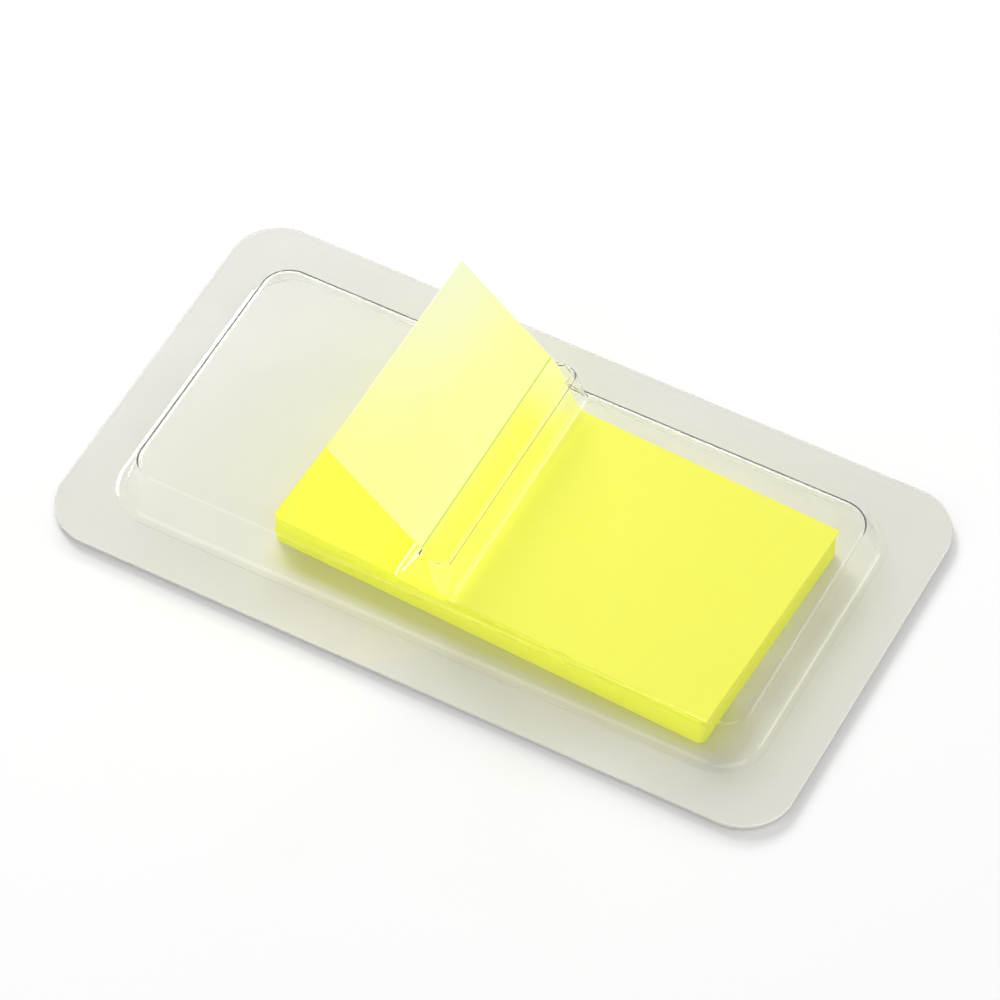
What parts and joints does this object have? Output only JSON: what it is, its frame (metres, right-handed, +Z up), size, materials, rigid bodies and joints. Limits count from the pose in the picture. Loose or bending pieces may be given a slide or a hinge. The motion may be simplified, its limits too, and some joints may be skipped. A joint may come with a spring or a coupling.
{
  "type": "sticky flag dispenser",
  "caption": "Clear blister dispenser with a cross rib and slot, holding a pad of yellow film flags, with a flag standing out of the slot.",
  "frame": {"origin": "centre of the backing sheet's underside", "axes": "+X along the dispenser towards the pad-filled end, +Y across it towards the back, +Z up from the table"},
  "size_m": [0.0762, 0.042, 0.0177],
  "materials": {
    "clear_film": "clear thermoformed film, glossy, with faint scuffs",
    "milky_film": "pale milky film, satin",
    "pad_film": "stacked translucent yellow film, satin, with layered edges",
    "flag_film": "translucent fluorescent yellow film, satin"
  },
  "bodies": {
    "root": {"blister_shell": "clear_film", "backing_sheet": "milky_film", "flag_pad": "pad_film", "raised_flag": "flag_film"}
  },
  "joints": []
}
